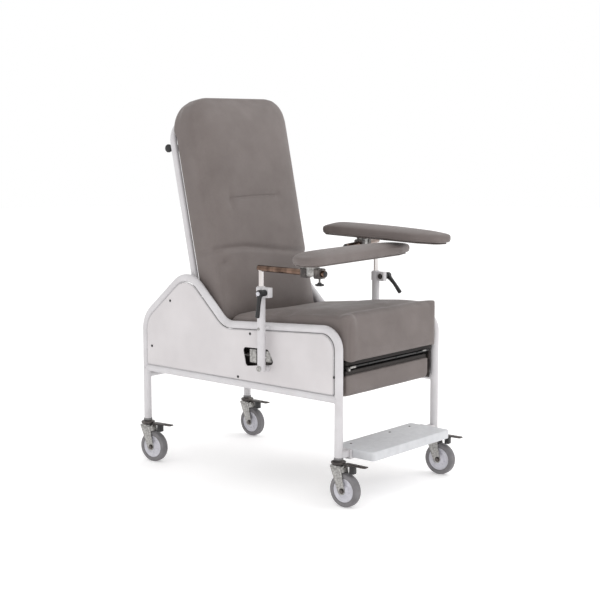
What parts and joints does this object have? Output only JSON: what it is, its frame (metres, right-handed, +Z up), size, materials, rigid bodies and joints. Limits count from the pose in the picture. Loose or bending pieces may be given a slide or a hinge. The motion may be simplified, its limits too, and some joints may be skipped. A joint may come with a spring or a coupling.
{
  "type": "patient recliner chair",
  "caption": "Wheeled clinical recliner on a white tube frame with vinyl seat and back, pull-out leg rest, foot tray and swing-out arm pads on chrome arms.",
  "frame": {"origin": "middle of the chair's box, at floor level under the casters, as stored with both arms placed as shown", "axes": "+Z up, -Y the way the occupant faces, +X towards the occupant's left"},
  "size_m": [0.6783, 0.9861, 1.1978],
  "materials": {
    "white_powder_coat": "satin",
    "vinyl": "satin",
    "zinc_steel": "satin",
    "dark_steel": "satin",
    "chrome": "polished",
    "black_plastic": "satin",
    "grey_rubber": "matte",
    "pale_plastic": "satin",
    "tray_grey": "satin",
    "covered_board": "matte"
  },
  "bodies": {
    "frame": {"right_side_frame": "white_powder_coat", "right_lower_rail": "white_powder_coat", "right_side_panel": "white_powder_coat", "right_web_plate": "white_powder_coat", "right_tray_guide": "white_powder_coat", "right_arm_post": "white_powder_coat", "right_arm_clamp": "white_powder_coat", "right_leg_rest_rail": "dark_steel", "left_side_frame": "white_powder_coat", "left_lower_rail": "white_powder_coat", "left_side_panel": "white_powder_coat", "left_web_plate": "white_powder_coat", "left_tray_guide": "white_powder_coat", "left_arm_post": "white_powder_coat", "left_arm_clamp": "white_powder_coat", "left_leg_rest_rail": "dark_steel", "rear_cross_tube": "white_powder_coat", "seat_pan": "dark_steel", "seat_board": "covered_board", "seat_cushion": "vinyl", "back_hinge_rod": "zinc_steel", "front_right_caster_stem": "dark_steel", "rear_right_caster_stem": "dark_steel", "rear_left_caster_stem": "dark_steel", "front_left_caster_stem": "dark_steel"},
    "front_right_caster": {"front_right_caster_fork": "zinc_steel"},
    "front_right_wheel": {"front_right_caster_tyre": "grey_rubber", "front_right_caster_hub": "pale_plastic"},
    "front_right_pedal": {"front_right_caster_pedal": "dark_steel"},
    "rear_right_caster": {"rear_right_caster_fork": "zinc_steel"},
    "rear_right_wheel": {"rear_right_caster_tyre": "grey_rubber", "rear_right_caster_hub": "pale_plastic"},
    "rear_right_pedal": {"rear_right_caster_pedal": "dark_steel"},
    "rear_left_caster": {"rear_left_caster_fork": "zinc_steel"},
    "rear_left_wheel": {"rear_left_caster_tyre": "grey_rubber", "rear_left_caster_hub": "pale_plastic"},
    "rear_left_pedal": {"rear_left_caster_pedal": "dark_steel"},
    "front_left_caster": {"front_left_caster_fork": "zinc_steel"},
    "front_left_wheel": {"front_left_caster_tyre": "grey_rubber", "front_left_caster_hub": "pale_plastic"},
    "front_left_pedal": {"front_left_caster_pedal": "dark_steel"},
    "right_arm_riser_foot": {"right_arm_bushing": "black_plastic"},
    "right_arm": {"right_arm_tube": "chrome"},
    "right_pad_carrier": {"right_saddle": "dark_steel"},
    "right_pad": {"right_arm_pad": "vinyl"},
    "right_screw": {"right_thumbscrew": "black_plastic"},
    "right_lever": {"right_arm_lever": "black_plastic"},
    "left_arm_riser_foot": {"left_arm_bushing": "black_plastic"},
    "left_arm": {"left_arm_tube": "chrome"},
    "left_pad_carrier": {"left_saddle": "dark_steel"},
    "left_pad": {"left_arm_pad": "vinyl"},
    "left_screw": {"left_thumbscrew": "black_plastic"},
    "left_lever": {"left_arm_lever": "black_plastic"},
    "backrest": {"back_frame": "white_powder_coat", "back_cushion": "vinyl", "push_bar": "white_powder_coat"},
    "leg_rest_slider": {"leg_rest_carriage": "dark_steel"},
    "leg_rest": {"leg_rest_board": "covered_board", "leg_rest_cushion": "vinyl"},
    "tray": {"foot_tray": "tray_grey"}
  },
  "joints": [
    {"name": "front_right_caster_swivel", "type": "hinge", "parent": "frame", "child": "front_right_caster", "pos_m": [-0.2302, -0.354, 0.13], "axis": [0, 0, 1], "continuous": true},
    {"name": "front_right_wheel_roll", "type": "hinge", "parent": "front_right_caster", "child": "front_right_wheel", "pos_m": [-0.22975, -0.38, 0.0508], "axis": [0.9998, 0.0175, 0], "continuous": true},
    {"name": "front_right_brake_pedal", "type": "hinge", "parent": "front_right_caster", "child": "front_right_pedal", "pos_m": [-0.22973, -0.381, 0.122], "axis": [0.9998, 0.0175, 0], "range_deg": [0, 12]},
    {"name": "rear_right_caster_swivel", "type": "hinge", "parent": "frame", "child": "rear_right_caster", "pos_m": [-0.2302, 0.468, 0.13], "axis": [0, 0, 1], "continuous": true},
    {"name": "rear_right_wheel_roll", "type": "hinge", "parent": "rear_right_caster", "child": "rear_right_wheel", "pos_m": [-0.22748, 0.44214, 0.0508], "axis": [0.9945, 0.1045, 0], "continuous": true},
    {"name": "rear_right_brake_pedal", "type": "hinge", "parent": "rear_right_caster", "child": "rear_right_pedal", "pos_m": [-0.22738, 0.44115, 0.122], "axis": [0.9945, 0.1045, 0], "range_deg": [0, 12]},
    {"name": "rear_left_caster_swivel", "type": "hinge", "parent": "frame", "child": "rear_left_caster", "pos_m": [0.2578, 0.468, 0.13], "axis": [0, 0, 1], "continuous": true},
    {"name": "rear_left_wheel_roll", "type": "hinge", "parent": "rear_left_caster", "child": "rear_left_wheel", "pos_m": [0.25735, 0.442, 0.0508], "axis": [0.9998, -0.0175, 0], "continuous": true},
    {"name": "rear_left_brake_pedal", "type": "hinge", "parent": "rear_left_caster", "child": "rear_left_pedal", "pos_m": [0.25733, 0.441, 0.122], "axis": [0.9998, -0.0175, 0], "range_deg": [0, 12]},
    {"name": "front_left_caster_swivel", "type": "hinge", "parent": "frame", "child": "front_left_caster", "pos_m": [0.2578, -0.354, 0.13], "axis": [0, 0, 1], "continuous": true},
    {"name": "front_left_wheel_roll", "type": "hinge", "parent": "front_left_caster", "child": "front_left_wheel", "pos_m": [0.25961, -0.37994, 0.0508], "axis": [0.9976, 0.0698, 0], "continuous": true},
    {"name": "front_left_brake_pedal", "type": "hinge", "parent": "front_left_caster", "child": "front_left_pedal", "pos_m": [0.25968, -0.38093, 0.122], "axis": [0.9976, 0.0698, 0], "range_deg": [0, 12]},
    {"name": "right_arm_height", "type": "slide", "parent": "frame", "child": "right_arm_riser_foot", "axis": [0, 0, 1], "range_m": [-0.04, 0]},
    {"name": "right_arm_swing", "type": "hinge", "parent": "right_arm_riser_foot", "child": "right_arm", "pos_m": [-0.2702, -0.084, 0.691], "axis": [0, 0, 1], "range_deg": [-120, 0]},
    {"name": "right_saddle_slide", "type": "slide", "parent": "right_arm", "child": "right_pad_carrier", "axis": [0, -1, 0], "range_m": [-0.03, 0.008]},
    {"name": "right_pad_swivel", "type": "hinge", "parent": "right_pad_carrier", "child": "right_pad", "pos_m": [-0.2702, -0.2875, 0.713], "axis": [0, 0, 1], "range_deg": [-95, 0]},
    {"name": "right_thumbscrew_turn", "type": "hinge", "parent": "right_pad_carrier", "child": "right_screw", "pos_m": [-0.2702, -0.313, 0.658], "axis": [0, 0, 1], "range_deg": [-180, 180]},
    {"name": "right_clamp_lever", "type": "hinge", "parent": "frame", "child": "right_lever", "pos_m": [-0.28, -0.109, 0.619], "axis": [1, 0, 0], "range_deg": [-60, 60]},
    {"name": "left_arm_height", "type": "slide", "parent": "frame", "child": "left_arm_riser_foot", "axis": [0, 0, 1], "range_m": [0, 0.06]},
    {"name": "left_arm_swing", "type": "hinge", "parent": "left_arm_riser_foot", "child": "left_arm", "pos_m": [0.2978, -0.084, 0.7365], "axis": [0, 0, 1], "range_deg": [-60, 5]},
    {"name": "left_saddle_slide", "type": "slide", "parent": "left_arm", "child": "left_pad_carrier", "axis": [-0.9659, -0.2588, 0], "range_m": [-0.06, 0.09]},
    {"name": "left_pad_swivel", "type": "hinge", "parent": "left_pad_carrier", "child": "left_pad", "pos_m": [0.18826, -0.11335, 0.7585], "axis": [0, 0, 1], "range_deg": [-30, 60]},
    {"name": "left_thumbscrew_turn", "type": "hinge", "parent": "left_pad_carrier", "child": "left_screw", "pos_m": [0.16363, -0.11995, 0.7035], "axis": [0, 0, 1], "range_deg": [-180, 180]},
    {"name": "left_clamp_lever", "type": "hinge", "parent": "frame", "child": "left_lever", "pos_m": [0.3076, -0.109, 0.619], "axis": [1, 0, 0], "range_deg": [-60, 60]},
    {"name": "back_recline", "type": "hinge", "parent": "frame", "child": "backrest", "pos_m": [0.0138, 0.172, 0.44], "axis": [-1, 0, 0], "range_deg": [0, 50]},
    {"name": "leg_rest_extend", "type": "slide", "parent": "frame", "child": "leg_rest_slider", "axis": [0, -1, 0], "range_m": [0, 0.301]},
    {"name": "leg_rest_tilt", "type": "hinge", "parent": "leg_rest_slider", "child": "leg_rest", "pos_m": [0.0138, -0.048, 0.36], "axis": [-1, 0, 0], "range_deg": [0, 8.1]},
    {"name": "foot_tray_slide", "type": "slide", "parent": "frame", "child": "tray", "axis": [0, 1, 0], "range_m": [0, 0.1]}
  ],
  "couplings": [
    {"joint": "leg_rest_extend", "follows": "back_recline", "m_per_rad": 0.34377},
    {"joint": "leg_rest_tilt", "follows": "back_recline", "ratio": 0.16}
  ]
}
